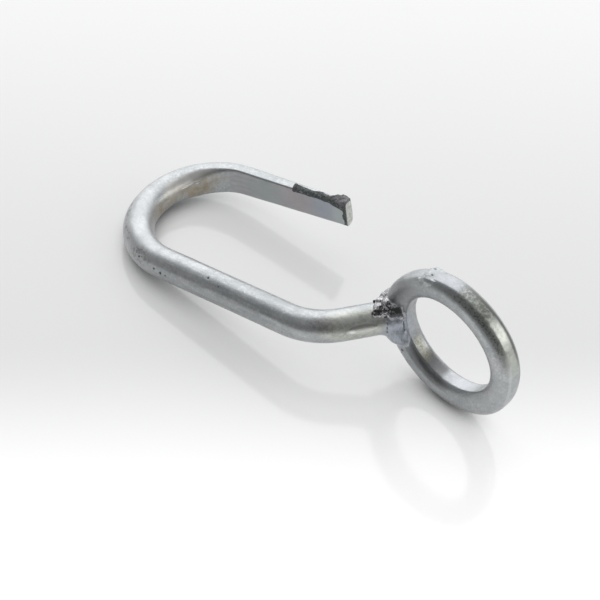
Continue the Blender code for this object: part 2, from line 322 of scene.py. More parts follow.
def bar_mesh():
    """The bar's skin, with the edge of its cut end rounded off over a few last rows."""
    points, along, flat, thin = centre_line()
    shrink = np.zeros(len(points))
    rounding = math.pi / 2 * np.linspace(0, 1, 5)
    tip = points[-1] - TIP_EDGE * (1 - np.sin(rounding))[:, None] * ARM_ALONG
    points = np.vstack((points[:-1], tip))
    along = np.vstack((along[:-1], [ARM_ALONG] * len(rounding)))
    flat = np.append(flat[:-1], np.ones(len(rounding)))
    thin = np.append(thin[:-1], np.ones(len(rounding)))
    shrink = np.append(shrink[:-1], TIP_EDGE * (1 - np.cos(rounding)))
    inside = np.stack((along[:, 1], -along[:, 0], np.zeros(len(along))), axis=1)
    rows = []
    for i in range(len(points)):
        across, up = bar_section(flat[i], thin[i], shrink[i])
        rows.append(points[i] + across[:, None] * inside[i] + up[:, None] * UP)
    skin = np.vstack((*rows, points[0], points[-1]))
    return new_piece("bar_skin", skin, tube_faces(len(rows), BAR_SIDES, False), 40)


def bar_relief(points):
    """Height of the zinc coat over the bar: slow waves, fine grain, a frozen puddle, pimples and pits."""
    height = 0.00004 * noise(points, 0.007) + 0.000022 * rough_noise(points, 0.0022, 2, 3) - 0.00003
    on_arm = (points - ARM_START) @ ARM_ALONG
    end = smoothstep((ARM_LENGTH - 0.0006 - on_arm) / 0.001)
    clear_of_weld = smoothstep((distance(points, RING_CENTRE) - 0.034) / 0.004)
    height = height * end * clear_of_weld - 0.00003
    along, angle = PUDDLE_AT
    axes = np.array((NECK_ALONG, towards(angle + 90, NECK_LEFT), towards(angle, NECK_LEFT)))
    inside = distance((points - neck_point(along, angle, BAR_RADIUS)) @ axes.T / PUDDLE_SIZE)
    height += 0.00013 * smoothstep((1.08 - inside) / 0.22)
    for place, size, depth in PITS:
        height -= depth * near(points, place, size)
    for place, size, rise in PIMPLES:
        height += rise * near(points, place, size)
    return height


PUDDLE_AT = (0.0066, 164)  # along the neck, angle round it
PUDDLE_SIZE = np.array((0.0053, 0.0021, 0.002))
PITS = (  # place, size, depth
    (leg_point(0.0006, 163), 0.0008, 0.0003),
    (leg_point(0.0037, 169), 0.0009, 0.0003),
    (leg_point(0.0061, 171), 0.0006, 0.0002),
    (leg_point(0.0244, 111), 0.0007, 0.00022),
    (leg_point(0.0300, 125), 0.0006, 0.00018),
    (bend_point(14, 150), 0.0007, 0.00015),
)
PIMPLES = (  # place, size, height
    (leg_point(0.0480, 82), 0.0007, 0.00012),
    (bend_point(64, 118), 0.0008, 0.00012),
    (neck_point(0.0100, 100, BAR_RADIUS), 0.0006, 0.00014),
    (neck_point(0.0113, 84, BAR_RADIUS), 0.0005, 0.00016),
)


# ---- the ring


def rim_dip(degrees):
    """How much nearer to the ring's axis the rim is than a true circle."""
    dip = np.zeros(np.shape(degrees))
    for middle, depth in RIM_DIPS:
        dip = dip + depth * smoothstep(1 - apart(degrees, middle) / RIM_DIP_REACH)
    return dip


def ring_oval(outer):
    """Half the width that the oval of the ring's bar would have if it weren't cut flat."""
    band = np.where(outer, RIM_HALF_BAND, EYE_HALF_BAND)
    return RING_HALF_WIDTH / np.sqrt(1 - (band / RING_HALF_THICKNESS) ** 2)


def ring_section(softness):
    """Outline of the ring's bar: an oval cut flat on the rim and in the eye, with soft corners at the rim."""
    angle = np.linspace(-math.pi / 2, 3 * math.pi / 2, 480, endpoint=False)
    outer = np.cos(angle) > 0
    x = ring_oval(outer) * np.abs(np.cos(angle))
    cut = soft_min(x, np.full(len(x), RING_HALF_WIDTH), np.where(outer, softness, EYE_SOFTNESS))
    return even_section(np.where(outer, cut, -cut), RING_HALF_THICKNESS * np.sin(angle), RING_SIDES)


def ring_mesh():
    """The ring's skin; its rows run backwards round the ring, so that the faces point outwards."""
    rows = []
    for i in range(RING_STEPS):
        degrees = 360 - 360 * i / RING_STEPS
        x, offset = ring_section(np.interp(degrees, *RIM_SOFTNESS))
        dip = rim_dip(degrees) * np.clip(x / RING_HALF_WIDTH, 0, 1)
        rows.append(ring_point(degrees, (CORE_RADIUS + x - dip)[:, None], offset[:, None]))
    return new_piece("ring_skin", np.vstack(rows), tube_faces(RING_STEPS, RING_SIDES, True))


def ring_relief(points):
    """Height of the zinc over the ring: slow waves, fine grain, and the pits by the weld."""
    height = 0.00007 * noise(points, 0.009, 5) + 0.00002 * rough_noise(points, 0.002, 2, 8)
    weld = NECK_START + (NECK_REACH - 0.004) * NECK_ALONG
    height = height * smoothstep((distance(points, weld) - 0.009) / 0.005) - 0.00005
    for degrees, radius, offset, size in RING_PITS:
        height -= 0.0002 * near(points, ring_point(degrees, radius, offset), size)
    return height


EYE_SOFTNESS = 0.00022
RIM_SOFTNESS = (  # degrees round the ring, rounding there
    (0, 25, 98, 116, 135, 190, 215, 330, 360),
    (0.00035, 0.00015, 0.00015, 0.0008, 0.0014, 0.0014, 0.0006, 0.0004, 0.00035),
)
RING_PITS = (  # degrees round the ring, radius, offset, size
    (213, 0.0243, -0.0050, 0.0008),
    (216, 0.0262, -0.0046, 0.0007),
    (221, 0.0271, -0.0040, 0.0009),
    (352, 0.0205, -0.0040, 0.0007),
)


# ---- welds and dross, as skins of fields


def without_pinches(values):
    """Fills grid corners until no cell face has just two opposite corners inside, where a skin pinches."""
    pinched = True
    while pinched:
        pinched = False
        for axis in range(3):
            plane = np.moveaxis(values, axis, 0)
            a, b, c, d = plane[:, :-1, :-1], plane[:, 1:, :-1], plane[:, 1:, 1:], plane[:, :-1, 1:]
            for p, q, r, s in ((a, c, b, d), (b, d, a, c)):
                bad = (p < 0) & (q < 0) & (r >= 0) & (s >= 0)
                r[bad] = -1e-6
                pinched = pinched or bad.any()
    return values


def largest_body(points, faces):
    """The points and faces of the largest connected part of a mesh of quads."""
    label, last = np.arange(len(points)), None
    while last is None or (label != last).any():
        last = label.copy()
        np.minimum.at(label, faces.ravel(), np.repeat(label[faces].min(axis=1), 4))
        label = label[label]
    owner = label[faces[:, 0]]
    faces = faces[owner == np.bincount(owner).argmax()]
    used, order = np.unique(faces, return_inverse=True)
    return points[used], order.reshape(-1, 4)


def skin_of(name, field, middle, half, step):
    """The surface where field(points) is zero, which is negative inside, as a closed mesh of quads."""
    axes = [np.arange(low, high + step, step) for low, high in zip(middle - half, middle + half)]
    shape = tuple(len(axis) for axis in axes)
    grid = np.stack(np.meshgrid(*axes, indexing="ij"), axis=-1)
    values = without_pinches(field(grid.reshape(-1, 3)).reshape(shape))
    inside = values < 0
    cells = tuple(n - 1 for n in shape)
    total, count = np.zeros(cells + (3,)), np.zeros(cells)
    spans = [slice(0, n) for n in cells]
    for axis in range(3):
        others = [i for i in range(3) if i != axis]
        for shift in itertools.product((0, 1), repeat=2):
            start = list(spans)
            for other, moved in zip(others, shift):
                start[other] = slice(moved, cells[other] + moved)
            end = list(start)
            end[axis] = slice(1, shape[axis])
            a, b = values[tuple(start)], values[tuple(end)]
            crossing = (a < 0) != (b < 0)
            share = np.where(crossing, a / np.where(crossing, a - b, 1), 0)
            place = grid[tuple(start)] + share[..., None] * (grid[tuple(end)] - grid[tuple(start)])
            total += place * crossing[..., None]
            count += crossing
    used = count > 0
    number = np.full(used.shape, -1)
    number[used] = np.arange(used.sum())
    points = total[used] / count[used][:, None]
    faces = []
    for axis in range(3):
        u, v = (axis + 1) % 3, (axis + 2) % 3
        start, end = [slice(1, n) for n in cells], [slice(1, n) for n in cells]
        start[axis], end[axis] = slice(0, cells[axis]), slice(1, shape[axis])
        a, b = inside[tuple(start)], inside[tuple(end)]
        index = np.argwhere(a != b) + np.array([i != axis for i in range(3)])
        corners = []
        for du, dv in ((0, 0), (1, 0), (1, 1), (0, 1)):
            cell = index.copy()
            cell[:, u] -= du
            cell[:, v] -= dv
            corners.append(number[tuple(cell.T)])
        quads = np.stack(corners, axis=1)
        inward = ~a[a != b]
        quads[inward] = quads[inward][:, ::-1]
        faces.append(quads)
    points, faces = largest_body(points, np.vstack(faces))
    return new_piece(name, points, faces.tolist())


def neck_distance(points):
    """Distance to the neck's round bar and its end."""
    place = points - NECK_START
    along = place @ NECK_ALONG
    return np.maximum(distance(place - along[:, None] * NECK_ALONG) - BAR_RADIUS, along - NECK_LENGTH)


def ring_place(points):
    """Each point's place within the ring's plane, from its centre, and its offset from that plane."""
    place = points - RING_CENTRE
    offset = place @ RING_NORMAL
    return place - offset[:, None] * RING_NORMAL, offset


def ring_distance(points):
    flat, offset = ring_place(points)
    degrees = np.degrees(np.arctan2(flat[:, 2], flat @ RING_ALONG))
    x = distance(flat) - CORE_RADIUS
    limit = RING_HALF_WIDTH - np.where(x > 0, rim_dip(degrees), 0)
    round_part = (np.hypot(x / ring_oval(x > 0), offset / RING_HALF_THICKNESS) - 1) * RING_HALF_THICKNESS
    return np.maximum(round_part, np.abs(x) - limit)


FILLET_WIDEST = 230  # degrees round the neck
FILLET_REACH = (0.0036, 0.0078)  # where it is narrowest and widest
FILLET_TOE = 0.0146  # along the neck
FILLET_GROOVES = (  # degrees round the ring, radius
    (176, 0.00035),
    (181, 0.0005),
    (186, 0.0006),
    (191, 0.0005),
)
FILLET_SIZE = 0.0135


def weld_fillet():
    """The smooth weld metal in the corner between neck and ring: wide below and in front, thin behind."""
    middle = neck_point(NECK_LENGTH - 0.002, 200, 0.003)
    belly = neck_point(0.0186, 246, 0.0078)

    def field(points):
        place = points - NECK_START
        round_neck = np.degrees(np.arctan2(place[:, 2], place @ NECK_LEFT))
        reach = blend(*FILLET_REACH, smoothstep(1 - apart(round_neck, FILLET_WIDEST) / 105))
        from_eye = distance(ring_place(points)[0]) - EYE_RADIUS
        reach = reach * blend(0.10, 1, smoothstep((from_eye - 0.0002) / 0.0013))
        past_toe = smoothstep((place @ NECK_ALONG - FILLET_TOE) / 0.0008)
        neck = neck_distance(points) - 0.00035 * past_toe
        ring = ring_distance(points)
        joined = soft_min(neck, ring, reach)
        joined = soft_min(joined, distance(points, belly) - 0.0024, 0.0036)
        ripple = 0.00014 * rough_noise(points, 0.0017, 3, 21)
        on_neck = smoothstep((ring - neck) / 0.0012 + 0.5)
        fill = np.maximum(past_toe * on_neck, smoothstep((np.minimum(neck, ring) - joined) / 0.0004))
        for degrees, radius in FILLET_GROOVES:
            groove = distance(points, ring_point(degrees, EYE_RADIUS + 0.0008, -0.0041)) - radius
            joined = np.maximum(joined, -groove)
        drip = points - ring_point(166, EYE_RADIUS + 0.0014, -0.0043)
        drip = distance(drip / (0.00045, 0.00045, 0.0012)) - 1
        joined = soft_min(joined, 0.00045 * drip, 0.0003)
        from_middle = distance(points, middle)
        sunk = 0.00012 + 0.0006 * smoothstep((from_middle - 0.0105) / 0.0028)
        return np.maximum(joined + sunk + fill * ripple, from_middle - FILLET_SIZE)

    return skin_of("weld_fillet_skin", field, middle, 0.0140, 0.0003)


def lumps_distance(points, lumps, reach):
    nearest = np.full(len(points), 1.0)
    for along, angle, radius, size in lumps:
        lump = distance(points, neck_point(along, angle, radius)) - size
        nearest = soft_min(nearest, lump, reach)
    return nearest


def top_bead():
    """The rough, slaggy mass on top of the neck, with craters in it."""

    def field(points):
        mass = lumps_distance(points, TOP_BEAD, 0.0011)
        mass -= 0.00042 * rough_noise(points, 0.0021, 3, 31) + 0.0001
        for along, angle, radius, size in CRATERS:
            hollow = distance(points, neck_point(along, angle, radius)) - size
            mass = -soft_min(-mass, hollow, 0.0004)
        return mass

    middle = neck_point(0.0165, 95, 0.0055)
    return skin_of("weld_bead_top_skin", field, middle, 0.0092, 0.00022)


CRATERS = (  # hollows in the top bead: along the neck, angle, radius, size
    (0.0122, 119, 0.0072, 0.0008),
    (0.0134, 120, 0.0077, 0.0009),
    (0.0141, 107, 0.0082, 0.0010),
    (0.0150, 120, 0.0081, 0.0010),
    (0.0166, 108, 0.0090, 0.0012),
    (0.0165, 125, 0.0084, 0.0009),
    (0.0182, 122, 0.0092, 0.0009),
)
BLACK_PATCHES = (  # black slag on the top bead: along the neck, angle, half length, half width
    (0.0134, 118, 0.0040, 0.0011),
    (0.0141, 108, 0.0008, 0.0013),
    (0.0167, 109, 0.0010, 0.0017),
    (0.0160, 136, 0.0016, 0.0006),
    (0.0172, 124, 0.0014, 0.0011),
    (0.0192, 128, 0.0017, 0.0016),
)
SPECKS = (  # bare bright metal between the hollows: along the neck, angle, radius, size
    (0.0168, 122, 0.0080, 0.0004),
    (0.0177, 127, 0.0080, 0.0004),
    (0.0160, 135, 0.0075, 0.0005),
    (0.0152, 103, 0.0085, 0.0006),
    (0.0156, 114, 0.0080, 0.0004),
)


def rear_bead():
    """The weld down the side of the neck that faces away: one ripple after another."""

    def field(points):
        return lumps_distance(points, REAR_BEAD, 0.0007) - 0.00012 * rough_noise(points, 0.0015, 2, 41)

    middle = neck_point(0.0175, -8, 0.006)
    return skin_of("weld_bead_rear_skin", field, middle, 0.0095, 0.0003)


def butt_weld():
    """The low bump over the joint in the ring's own bar, across its rim."""
    middle = ring_point(BUTT_WELD_AT, RIM_RADIUS - 0.0017, 0)
    spoke = towards(BUTT_WELD_AT, RING_ALONG)
    round_ring = np.cross(RING_NORMAL, spoke)
    size = np.array((0.0023, 0.0036, 0.0020))  # round the ring, across its rim, out of it

    def field(points):
        place = points - middle
        bump = distance(place @ np.stack((round_ring, RING_NORMAL, spoke), axis=1) / size)
        bump = (bump - 1) * size[2] - 0.00012 * rough_noise(points, 0.0013, 3, 51)
        joined = soft_min(bump, ring_distance(points) + 0.00034, 0.0018)
        return np.maximum(joined, distance(place) - 0.0052)

    return skin_of("ring_butt_weld_skin", field, middle, 0.0056, 0.00022)


def droplet(name, centre, size, seed):
    """A small, uneven ball."""

    def field(points):
        uneven = 0.25 * size * rough_noise(points, size * 1.6, 2, seed)
        return distance(points, centre) - size - uneven

    return skin_of(name, field, centre, 1.6 * size, size / 7)


def arm_distance(points):
    """Distance to the lip arm's blade, the place along, across and up it, and the blade's back and top."""
    place = points - ARM_START
    along = place @ ARM_ALONG
    thin = np.clip(along / ARM_LENGTH, 0, 1) ** THINNING
    across, up = place @ ARM_INSIDE, place[:, 2]
    back, top = blend(BAR_RADIUS, TIP_BACK, thin), blend(BAR_RADIUS, TIP_TOP, thin)
    width, middle = (FLAT_FACE + back) / 2, (FLAT_FACE - back) / 2
    height = np.where(up > 0, top, blend(BAR_RADIUS, TIP_BOTTOM, thin))
    x, y = np.abs(across - middle) / width, np.abs(up) / height
    return ((x**4 + y**4) ** 0.25 - 1) * np.minimum(width, height), along, across, up, back, top


def tip_crust():
    """Zinc dross: a rough ridge on the arm's top edge that ends in a lump, and a run down its end's edge."""

    def field(points):
        skin, along, across, up, back, top = arm_distance(points)
        grain = rough_noise(points, 0.0013, 3, 61)
        coarse = noise(points, 0.0032, 64)
        past = along - CRUST_STARTS
        lump = smoothstep((along - 0.0385) / 0.005)
        hangs = 0.0012 + 0.0004 * coarse + 0.0012 * lump
        back_to = 0.0003 + 0.0005 * coarse + 0.0032 * lump
        on_ridge = np.maximum(top - hangs - up, -back_to - across)
        from_end = ARM_LENGTH - along
        run_width = 0.0015 + 0.0006 * noise(points, 0.0018, 67)
        on_run = np.maximum(from_end - run_width, np.maximum(-across, -0.0050 - up))
        where = np.minimum(on_ridge, on_run)
        edge = np.maximum(np.maximum(where + 0.0005 * grain, -past + 0.0004 * grain), 0.0002 - from_end)
        thick = 0.00040 + 0.0003 * grain + 0.00022 * smoothstep(1 - np.abs(from_end - 0.0018) / 0.002)
        thick += 0.0003 * smoothstep(1 - np.abs(past - 0.0007) / 0.0010)
        return np.maximum(np.maximum(skin - thick, edge), 0.0002 - across - back)

    middle = arm_point(0.0355, 0, 0.0015)
    return skin_of("tip_crust_skin", field, middle, np.array((0.0140, 0.0060, 0.0068)), 0.0002)


# ---- materials


def turned(x_axis, y_axis):
    """The rotation whose first two axes run along these directions of the hook's frame."""
    x, y = Vector(x_axis).normalized(), Vector(y_axis).normalized()
    return Matrix((x, y, x.cross(y))).transposed()


class Nodes:
    """Short names for the shader nodes of a material. Spots are placed in the hook's frame."""

    def __init__(self, name):
        self.material = bpy.data.materials.new(name)
        self.material.use_nodes = True
        self.tree = self.material.node_tree
        self.shader = self.tree.nodes["Principled BSDF"]
        self.place = self.tree.nodes.new("ShaderNodeTexCoord").outputs["Object"]

    def link(self, value, socket):
        if isinstance(value, bpy.types.NodeSocket):
            self.tree.links.new(value, socket)
        else:
            socket.default_value = value

    def fill(self, node, **values):
        """Sets inputs by their names, such as from_min for From Min."""
        for key, value in values.items():
            self.link(value, node.inputs[key.replace("_", " ").title()])

    def node(self, kind, *values, **settings):
        node = self.tree.nodes.new(kind)
        for key, value in settings.items():
            setattr(node, key, value)
        for socket, value in zip(node.inputs, values):
            self.link(value, socket)
        return node

    def noise(self, scale, detail=4.0, roughness=0.55, distortion=0.0, at=None):
        node = self.node("ShaderNodeTexNoise", at or self.place)
        self.fill(node, scale=scale, detail=detail, roughness=roughness, distortion=distortion)
        return node.outputs["Fac"]

    def seen_from(self, at=(0, 0, 0), turn=(0, 0, 0), size=(1, 1, 1)):
        """The place, measured from a point, turned by -turn and divided by size."""
        node = self.node("ShaderNodeMapping", self.place, at, turn, size, vector_type="TEXTURE")
        return node.outputs["Vector"]

    def ramp(self, value, low, high, to_low=0.0, to_high=1.0):
        node = self.node("ShaderNodeMapRange", interpolation_type="SMOOTHSTEP")
        self.fill(node, value=value, from_min=low, from_max=high, to_min=to_low, to_max=to_high)
        return node.outputs["Result"]

    def math(self, operation, a, b=0.0, clamp=False):
        return self.node("ShaderNodeMath", a, b, operation=operation, use_clamp=clamp).outputs[0]

    def number(self, operation, *vectors):
        """The length of a vector, or the dot product of two."""
        return self.node("ShaderNodeVectorMath", *vectors, operation=operation).outputs["Value"]

    def both(self, a, b):
        """Where two masks overlap."""
        return self.math("MULTIPLY", a, b)

    def raised(self, value, mask, amount, clamp=False):
        """A number raised by an amount where a mask is."""
        return self.math("ADD", value, self.math("MULTIPLY", mask, amount), clamp)

    def mix(self, share, a, b):
        """A colour, or a number when a is one."""
        number = isinstance(a, float) or (isinstance(a, bpy.types.NodeSocket) and a.type == "VALUE")
        node = self.node("ShaderNodeMix", data_type="FLOAT" if number else "RGBA")
        first, result = (2, 0) if number else (6, 2)
        for value, socket in ((share, 0), (a, first), (b, first + 1)):
            self.link((*value, 1) if isinstance(value, tuple) else value, node.inputs[socket])
        return node.outputs[result]

    def paint(self, colour, mask, strength, tint):
        """A colour covered by another where a mask is, as far as the strength says."""
        return self.mix(self.math("MULTIPLY", mask, strength), colour, tint)

    def edge(self, distance, grain, ragged, soft):
        """1 below a distance of 1 and 0 above it, across a ragged, soft edge."""
        wobble = self.math("MULTIPLY", self.math("SUBTRACT", self.noise(grain, 3), 0.5), 2 * ragged)
        return self.ramp(self.math("ADD", distance, wobble), 1 + soft / 2, 1 - soft / 2)

    def spot(self, at, size, turn=None, ragged=0.25, soft=0.35):
        """1 inside an ellipsoid round a point, 0 outside it."""
        turn = placement.to_3x3() @ (turn or Matrix.Identity(3))
        place = self.seen_from(placement @ Vector(at), turn.to_euler(), size)
        return self.edge(self.number("LENGTH", place), 900, ragged, soft)

    def arm_spot(self, along, inward, up, size, ragged, soft):
        return self.spot(arm_point(along, inward, up), size, turned(ARM_ALONG, ARM_INSIDE), ragged, soft)

    def bend_spot(self, degrees, angle, size, ragged, soft, radius=BAR_RADIUS):
        turn = turned(unit(-degrees), towards(angle + 90, -unit(-90 - degrees)))
        return self.spot(bend_point(degrees, angle, radius), size, turn, ragged, soft)

    def neck_spot(self, along, angle, radius, size, ragged, soft):
        turn = turned(NECK_ALONG, towards(angle + 90, NECK_LEFT))
        return self.spot(neck_point(along, angle, radius), size, turn, ragged, soft)

    def ring_spot(self, degrees, radius, offset, size, ragged, soft):
        turn = turned(towards(degrees, RING_ALONG), towards(degrees + 90, RING_ALONG))
        return self.spot(ring_point(degrees, radius, offset), size, turn, ragged, soft)

    def on_ring(self, degrees, half, radius, offset, size, ragged=0.25, soft=0.7):
        """1 on an arc of the ring, within a size of a radius and an offset, 0 elsewhere."""
        turn = placement.to_3x3() @ turned(RING_ALONG, UP)
        place = self.seen_from(placement @ Vector(RING_CENTRE), turn.to_euler())
        flat = self.node("ShaderNodeVectorMath", place, (1, 1, 0), operation="MULTIPLY").outputs[0]
        from_axis = self.number("LENGTH", flat)
        middle = (math.cos(math.radians(degrees)), math.sin(math.radians(degrees)), 0)
        cosine = self.math("DIVIDE", self.number("DOT_PRODUCT", flat, middle), from_axis)
        arc = self.ramp(cosine, math.cos(math.radians(1.25 * half)), math.cos(math.radians(0.65 * half)))
        behind = self.number("DOT_PRODUCT", place, (0, 0, 1))
        away = self.node("ShaderNodeCombineXYZ", self.math("SUBTRACT", from_axis, radius),
                         self.math("ADD", behind, offset))
        away = self.number("LENGTH", away.outputs[0])
        return self.both(arc, self.edge(self.math("DIVIDE", away, size), 700, ragged, soft))

    def finish(self, colour, roughness, metallic, bump, strength, distance=0.0001):
        self.fill(self.shader, base_color=colour, roughness=roughness, metallic=metallic)
        node = self.node("ShaderNodeBump")
        self.fill(node, strength=strength, distance=distance, height=bump)
        self.link(node.outputs["Normal"], self.shader.inputs["Normal"])
        return self.material


ZINC_SHEEN = 0.12
ZINC_SHEEN_ROUGHNESS = 0.35


def zinc_base(n):
    """Shared layers of the galvanised coat: colour, roughness and bump, before the local marks."""
    clouds = n.ramp(n.noise(85, 5, 0.6), 0.35, 0.68)
    patches = n.ramp(n.noise(260, 4, 0.6, 0.6), 0.42, 0.62)
    flecks = n.ramp(n.noise(560, 5, 0.7, 0.8), 0.46, 0.62)
    specks = n.ramp(n.noise(1900, 3, 0.65), 0.56, 0.72)
    frost = n.ramp(n.noise(1300, 3, 0.7), 0.50, 0.68)
    colour = n.mix(clouds, (0.43, 0.455, 0.465), (0.53, 0.545, 0.55))
    colour = n.paint(colour, patches, 0.35, (0.40, 0.415, 0.43))
    colour = n.paint(colour, flecks, 0.26, (0.27, 0.28, 0.285))
    colour = n.paint(colour, specks, 0.55, (0.22, 0.225, 0.225))
    colour = n.paint(colour, frost, 0.48, (0.70, 0.71, 0.72))
    roughness = n.raised(n.ramp(n.noise(140, 4, 0.6), 0.3, 0.7, 0.28, 0.40), patches, 0.05)
    bump = n.raised(n.math("MULTIPLY", n.noise(1500, 3, 0.7), 0.7), n.noise(420, 3), 1.3)
    n.shader.inputs["Sheen Weight"].default_value = ZINC_SHEEN
    n.shader.inputs["Sheen Roughness"].default_value = ZINC_SHEEN_ROUGHNESS
    return colour, roughness, bump


ARM_TINTS = (  # along the lip arm, up, size, colour
    (0.0120, 0.0, 0.0090, (0.35, 0.39, 0.39)),
    (0.0250, 0.0, 0.0080, (0.42, 0.385, 0.40)),
    (0.0370, 0.0, 0.0060, (0.37, 0.40, 0.47)),
    (0.0440, -0.001, 0.0035, (0.48, 0.54, 0.53)),
)
BEND_BARE = ((104, 40), (116, 44), (128, 48), (140, 52))  # degrees round the bend, angle round the bar
BEND_MARKS = (  # degrees round the bend, angle round the bar, half length, half width
    (117, 22, 0.0016, 0.00022),
    (122, 27, 0.0022, 0.00028),
    (129, 33, 0.0018, 0.00025),
    (131, 22, 0.0009, 0.00020),
)
BEND_STAINS = (  # degrees round the bend, angle round the bar, half length, half height, strength
    (68, -4, 0.0050, 0.0042, 0.50),
    (87, -6, 0.0050, 0.0044, 0.65),
    (104, 14, 0.0030, 0.0036, 0.45),
    (118, 8, 0.0050, 0.0026, 0.60),
    (134, -22, 0.0060, 0.0026, 0.85),
    (147, 16, 0.0065, 0.0032, 0.75),
    (160, 20, 0.0030, 0.0018, 0.45),
)
BEND_SCUFFS = (  # degrees round the bend, angle round the bar, half length, half height
    (14, 146, 0.0055, 0.0030),
    (62, 128, 0.0055, 0.0009),
    (40, 134, 0.0050, 0.0012),
)


def bend_stains(n, colour, roughness):
    """Brown stains on the inside of the bend, with bare zinc above them and a few bright scratches."""
    broken = n.ramp(n.noise(330, 4, 0.65), 0.38, 0.62, 0.45, 1.0)
    for degrees, angle in BEND_BARE:
        bare = n.bend_spot(degrees, angle, (0.0040, 0.0024, 0.003), 0.3, 1.2, 0.0055)
        colour = n.paint(colour, bare, 0.55, (0.84, 0.82, 0.78))
    for degrees, angle, length, height, strength in BEND_STAINS:
        stain = n.bend_spot(degrees, angle, (length, height, 0.003), 0.35, 1.2)
        stain = n.both(stain, n.math("MULTIPLY", broken, strength))
        colour = n.mix(stain, colour, (0.33, 0.265, 0.165))
        roughness = n.raised(roughness, stain, 0.06)
    for degrees, angle, length, width in BEND_MARKS:
        mark = n.bend_spot(degrees, angle, (length, width, 0.002), 0.5, 0.8)
        colour = n.paint(colour, mark, 0.85, (0.90, 0.88, 0.84))
    return colour, roughness


def arm_face(n, colour, streaks):
    """The lip arm's flat face, darker and tinted in patches."""
    flat = n.arm_spot(0.016, FLAT_FACE, 0, (0.036, 0.0012, 0.0075), 0.05, 0.3)
    tone = n.mix(streaks, (0.40, 0.40, 0.41), (0.46, 0.46, 0.47))
    for along, up, size, tint in ARM_TINTS:
        patch = n.arm_spot(along, FLAT_FACE, up, (size, 0.0012, 0.0060), 0.3, 1.2)
        tone = n.paint(tone, patch, 0.8, tint)
    return n.paint(colour, flat, 0.85, tone)


def neck_marks(n, colour, roughness):
    """The mottled neck, with a frozen puddle of zinc on it."""
    mottle = n.ramp(n.noise(620, 4, 0.7, 0.5), 0.44, 0.60)
    on_neck = n.neck_spot(0.004, 150, BAR_RADIUS, (0.0125, 0.0065, 0.0045), 0.25, 0.6)
    colour = n.paint(colour, on_neck, 0.7, (0.63, 0.64, 0.58))
    colour = n.paint(colour, n.both(on_neck, mottle), 0.42, (0.28, 0.285, 0.24))
    roughness = n.raised(roughness, on_neck, 0.06)
    along, angle = PUDDLE_AT
    puddle = n.neck_spot(along, angle, BAR_RADIUS, PUDDLE_SIZE * (0.95, 0.95, 2), 0.08, 0.15)
    colour = n.paint(colour, puddle, 0.85, (0.56, 0.57, 0.53))
    roughness = n.mix(puddle, roughness, 0.24)
    puddle_end = n.neck_spot(0.0024, 169, BAR_RADIUS, (0.0014, 0.0008, 0.002), 0.5, 1.2)
    return n.paint(colour, puddle_end, 0.65, (0.85, 0.86, 0.85)), roughness


def bar_zinc():
    """Galvanised bar with brown stains inside the bend, dark marks at the kink, pits and a mottled neck."""
    n = Nodes("zinc_on_bar")
    colour, roughness, bump = zinc_base(n)
    # frosted zinc on the bend's top, its lighter colour partly a painted highlight
    frost_and_highlight = n.spot(bend_point(40, 110), (0.020, 0.020, 0.010), ragged=0.1, soft=0.9)
    colour = n.paint(colour, frost_and_highlight, 0.5, (0.60, 0.61, 0.62))
    roughness = n.raised(roughness, frost_and_highlight, 0.08)

    along_leg = n.seen_from(turn=placement.to_euler(), size=(0.016, 0.0011, 0.0011))
    streaks = n.ramp(n.noise(1.0, 4, 0.6, 0.4, along_leg), 0.42, 0.62)
    on_leg = n.spot((0.034, 0, 0), (0.034, 0.014, 0.014), ragged=0.1, soft=0.8)
    colour = n.paint(colour, n.both(on_leg, streaks), 0.45, (0.30, 0.315, 0.33))
    colour, roughness = bend_stains(n, colour, roughness)
    colour = arm_face(n, colour, streaks)
    colour, roughness = neck_marks(n, colour, roughness)

    kink = n.spot(kink_point(31, 130), (0.0040, 0.0026, 0.0030), turned(unit(31), UP), 0.5, 0.9)
    kink = n.both(kink, n.ramp(n.noise(800, 4, 0.7), 0.40, 0.62, 0.35, 1.0))
    colour = n.paint(colour, kink, 0.55, (0.19, 0.16, 0.165))
    scuffs = n.ramp(n.noise(750, 5, 0.7, 0.6), 0.46, 0.58)
    for degrees, angle, length, height in BEND_SCUFFS:
        scuffed = n.bend_spot(degrees, angle, (length, height, 0.003), 0.4, 1.0)
        colour = n.paint(colour, n.both(scuffed, scuffs), 0.7, (0.22, 0.22, 0.205))
    for place, size, _ in PITS:
        pit = n.spot(place, (size * 0.62,) * 3, ragged=0.35, soft=0.5)
        colour = n.paint(colour, pit, 0.85, (0.10, 0.085, 0.085))
        roughness = n.raised(roughness, pit, 0.3, True)

    colour = weld_blue(n, colour)
    cut = n.arm_spot(ARM_LENGTH + 0.0002, -0.0005, 0, (0.0004, 0.0060, 0.0090), 0.02, 0.1)
    cut_tone = n.mix(n.ramp(n.noise(700, 4), 0.35, 0.65), (0.52, 0.54, 0.50), (0.74, 0.76, 0.71))
    colour = n.mix(cut, colour, cut_tone)
    roughness = n.mix(cut, roughness, 0.5)
    return n.finish(colour, roughness, 0.95, bump, 0.35)


